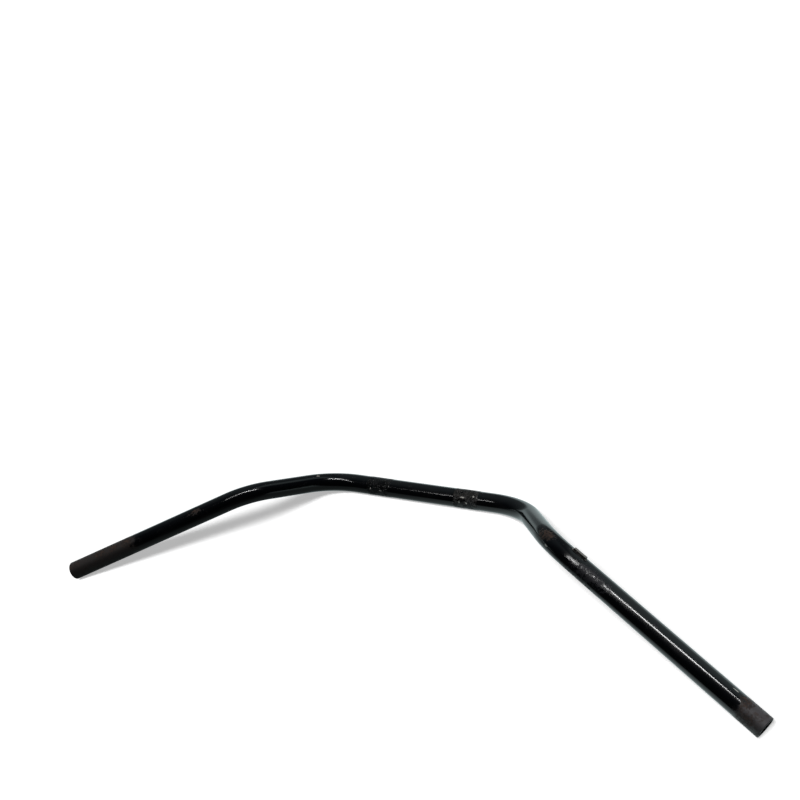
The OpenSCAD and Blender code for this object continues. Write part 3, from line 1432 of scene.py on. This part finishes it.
@dataclass
class Studio:
    """A pale table, with lights that are kept to the bar and one that only shades the table.

    A long strip light makes the bar's highlight and a soft key stands behind it. In the bar's
    gloss the table and the room are painted in teal greys, so that they read as in the photograph.
    """

    table_size: float = 12
    table_level: float = -11.3 * MM
    table_pale: tuple[Colour, Colour] = ((0.86, 0.865, 0.865), (0.90, 0.90, 0.90))
    # Painted shade: the table's colour for the light it bounces onto the bar, far darker than the table
    # looks
    dimmed_bounce: Colour = (0.12, 0.122, 0.125)
    table_glow: Range = (0.42, 0.9)
    glow_reach: Range = (0.7, 2.5)
    strips: tuple[Strip, ...] = (
        Strip((-0.06, -0.16), (1.0, 0.45), 65),
        Strip((-0.75, -0.95), (-0.06, -0.16), 32),
        Strip((-1.53, -1.73), (-0.75, -0.95), 15),
    )
    key_place: Triple = (-0.5, 4.4, 4.4)
    key_size: float = 4
    key_power: float = 640
    top_place: Triple = (0, -2.6, 6)
    top_size: float = 1.7
    top_power: float = 350
    room_light: float = 0.05
    teal: Colour = (0.84, 1, 1.01)
    # Painted reflection of the table in the bar's gloss: black, open-side greys and a dim bay on the rider's
    # side, which stand in for shade
    gloss_black: Colour = (0.02, 0.02, 0.02)
    open_levels: Range = (0.94, 0.3)
    open_fade: Range = (0.3, 0.9)
    arms_from: float = 0.1
    arms_slope: float = 0.6
    arms_edge: Range = (-0.02, 0.02)
    bay_fade: Range = (-0.27, -0.05)
    bay_start: float = -0.2
    bay_width: float = 0.5
    right_edge: Range = (0.41, 0.47)
    right_fade: Range = (-0.05, -0.15)
    bay_levels: Levels = ((0, 0.12), (0.3, 0.2), (0.4, 0.35), (0.6, 0.62), (0.8, 0.8), (1, 0.95))
    # Painted reflection of the room in the bar's gloss, by bearing in degrees
    room_levels: Levels = (
        (-180, 0.05),
        (-166, 0.02),
        (-88, 0),
        (48, 0),
        (62, 0.46),
        (76, 0.46),
        (86, 0.10),
        (108, 0.08),
        (116, 0.17),
        (135, 0.15),
        (158, 0.105),
        (180, 0.05),
    )

    def grey(self, level: float) -> Colour:
        """A grey of the room, a little towards teal."""
        red, green, blue = self.teal
        return red * level, green * level, blue * level

    def painted_reflection(self, graph: Graph, place: NodeSocket) -> NodeSocket:
        """Painted reflection: the table's colour where the bar mirrors it, painted dim in the bay on the
        rider's side.

        Args:
            graph: the table's node tree.
            place: the place on the table, in metres.

        Returns:
            The colour.
        """
        # Painted shade in the reflection: dark in the bay and behind the arms, black past the right arm
        across, back = graph.part(place, 0), graph.part(place, 1)
        past_centre = graph.math("SUBTRACT", graph.math("ABSOLUTE", across), self.arms_from)
        arm = graph.math("MAXIMUM", past_centre, 0)
        behind_arms = graph.math("MULTIPLY_ADD", arm, self.arms_slope, back)
        in_bay = graph.math("MULTIPLY_ADD", across, 1 / self.bay_width, -self.bay_start / self.bay_width)
        bay = graph.ramp(in_bay, [(share, self.grey(level)) for share, level in self.bay_levels])
        bay = graph.tint(graph.step(behind_arms, *self.bay_fade), self.gloss_black, bay)
        away = graph.step(graph.math("SUBTRACT", back, across), *self.open_fade)
        open_side = graph.tint(away, *(self.grey(level) for level in self.open_levels))
        seen = graph.tint(graph.step(behind_arms, *self.arms_edge), bay, open_side)
        past_right = graph.step(across, *self.right_edge)
        past_right = graph.times(past_right, graph.step(back, *self.right_fade))
        return graph.tint(past_right, seen, self.gloss_black)

    def table(self) -> Object:
        """The table's top.

        Returns:
            The object.
        """
        shape = bmesh.new()
        bmesh.ops.create_grid(shape, x_segments=4, y_segments=4, size=self.table_size / 2)
        bmesh.ops.translate(shape, verts=shape.verts, vec=(0, 0, self.table_level))
        material, graph, shader = new_material("pale table")
        place = graph.node("TexCoord").outputs["Object"]
        mottle = graph.cloud(place, 6, 4, 0.6)
        path = graph.node("LightPath").outputs
        # Diffuse rays see the table painted dark, so the bar's underside stays in painted shade
        colour = graph.tint(path["Is Diffuse Ray"], graph.tint(mottle, *self.table_pale), self.dimmed_bounce)
        graph.feed(shader.inputs["Base Color"], graph.tint(path["Is Glossy Ray"], colour, (0, 0, 0)))
        distance = graph.step(graph.vector("LENGTH", place), *self.glow_reach)
        seen = graph.times(path["Is Camera Ray"], graph.blend(distance, *self.table_glow))
        # Glossy rays see the painted reflection instead of the lit table
        glow_and_painted_reflection = graph.tint(path["Is Glossy Ray"], seen, self.painted_reflection(graph, place))
        graph.feed(shader.inputs["Emission Color"], glow_and_painted_reflection)
        shader.inputs["Emission Strength"].default_value = 1
        material.cycles.emission_sampling = "NONE"
        graph.feed(shader.inputs["Roughness"], graph.blend(mottle, 0.5, 0.6))
        shader.inputs["Specular IOR Level"].default_value = 0.15
        top = bpy.data.objects.new("table_top", mesh_of(shape, "table_top", material))
        bpy.context.scene.collection.objects.link(top)
        return top

    def area_light(self, name: str, centre: Vector, aim: Vector, size: Size, power: float) -> Object:
        """A rectangular light.

        Args:
            name: its name.
            centre: where it is.
            aim: the point it faces.
            size: the direction of its length, its length and its width.
            power: its power in watts.

        Returns:
            The light.
        """
        way, *sides = size
        data = bpy.data.lights.new(name, "AREA")
        data.shape = "RECTANGLE"
        data.size, data.size_y = sides
        data.energy = power
        light = bpy.data.objects.new(name, data)
        back = (centre - aim).normalized()
        length = way.normalized()
        length = (length - back * length.dot(back)).normalized()
        columns = Matrix((length, back.cross(length), back)).transposed()
        light.matrix_world = Matrix.Translation(centre) @ columns.to_4x4()
        light.visible_camera = False
        bpy.context.scene.collection.objects.link(light)
        return light

    def surroundings(self) -> None:
        """A white room whose reflection in the bar is painted dim, but for behind the bar, and which lights
        the bar a little.
        """
        world = bpy.data.worlds.new("room")
        bpy.context.scene.world = world
        world.use_nodes = True
        world.node_tree.nodes.clear()
        graph = Graph(world.node_tree)
        way = graph.node("TexCoord").outputs["Generated"]
        round_about = graph.math("ARCTAN2", graph.part(way, 1), graph.part(way, 0))
        share = graph.math("MULTIPLY_ADD", round_about, 0.5 / math.pi, 0.5)
        # Painted reflection: the room's grey as the bar's gloss shows it, by bearing
        stops = [(0.5 + degrees / 360, self.grey(level)) for degrees, level in self.room_levels]
        seen = graph.ramp(share, stops)
        path = graph.node("LightPath").outputs
        room = graph.tint(path["Is Camera Ray"], (self.room_light,) * 3, (1, 1, 1))
        background = graph.node("Background")
        graph.feed(background.inputs["Color"], graph.tint(path["Is Glossy Ray"], room, seen))
        output = graph.node("OutputWorld")
        graph.feed(output.inputs["Surface"], background.outputs["Background"])

    def hang(self, name: str, strip: Strip) -> Object:
        """Hangs one part of the strip light, facing down.

        Args:
            name: its name.
            strip: the part.

        Returns:
            The light.
        """
        start = Vector((*strip.start, strip.height))
        end = Vector((*strip.end, strip.height))
        middle, length = (start + end) / 2, (end - start).length
        power = strip.radiance * math.pi * length * strip.width
        size = (end - start, length, strip.width)
        return self.area_light(name, middle, middle - Vector((0, 0, 1)), size, power)

    def stand(self, name: str, place: Triple, side: float, power: float) -> Object:
        """Stands up a square soft light that faces the bar and stays out of its gloss.

        Args:
            name: its name.
            place: where it is.
            side: the length of its sides.
            power: its power in watts.

        Returns:
            The light.
        """
        size = (Vector((1, 0, 0)), side, side)
        light = self.area_light(name, Vector(place), Vector(), size, power)
        light.visible_glossy = False
        return light

    @staticmethod
    def only_on(light: Object, pieces: Sequence[Object]) -> None:
        """Keeps a light to the given pieces, so that the table's shade and the gloss are set apart.

        Args:
            light: the light.
            pieces: the pieces that it lights.
        """
        lit = bpy.data.collections.new(light.name + "_lit")
        for piece in pieces:
            lit.objects.link(piece)
        light.light_linking.receiver_collection = lit

    def build(self, bar: Sequence[Object]) -> None:
        """Sets up the table, the lights and the room.

        Args:
            bar: the bar's pieces.
        """
        table = self.table()
        for number, strip in enumerate(self.strips):
            self.only_on(self.hang(f"strip_light_{number}", strip), bar)
        self.only_on(self.stand("soft_key", self.key_place, self.key_size, self.key_power), bar)
        self.only_on(self.stand("soft_top", self.top_place, self.top_size, self.top_power), [table])
        self.surroundings()
        bpy.context.scene.view_settings.view_transform = "Standard"


def main() -> None:
    """Builds the bar's pieces in order and sets the studio round them."""
    logging.basicConfig(level=logging.INFO, format="%(name)s: %(message)s")
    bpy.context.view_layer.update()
    line = CentreLine()
    groups = WearGroups()
    seat = TabSeat(line)
    makers = (
        BarTube(line, BarPaint(groups).build(), BoreRust(groups).build()),
        StopTab(seat, TabPaint(groups, "tab paint").build()),
        # The welds are rubbed and lightened more strongly, a painted highlight for the light speck at the
        # tab's foot
        TabWelds(seat, TabPaint(groups, "weld paint", rub_and_highlight=0.9, rust_cover=0.35).build()),
    )
    pieces = []
    for maker in makers:
        piece = maker.build()
        pieces.append(piece)
        LOG.info("%s: %d vertices, %d faces", piece.name, len(piece.data.vertices), len(piece.data.polygons))
    PhotoCamera().build()
    Studio().build(pieces)


if __name__ == "__main__":
    main()
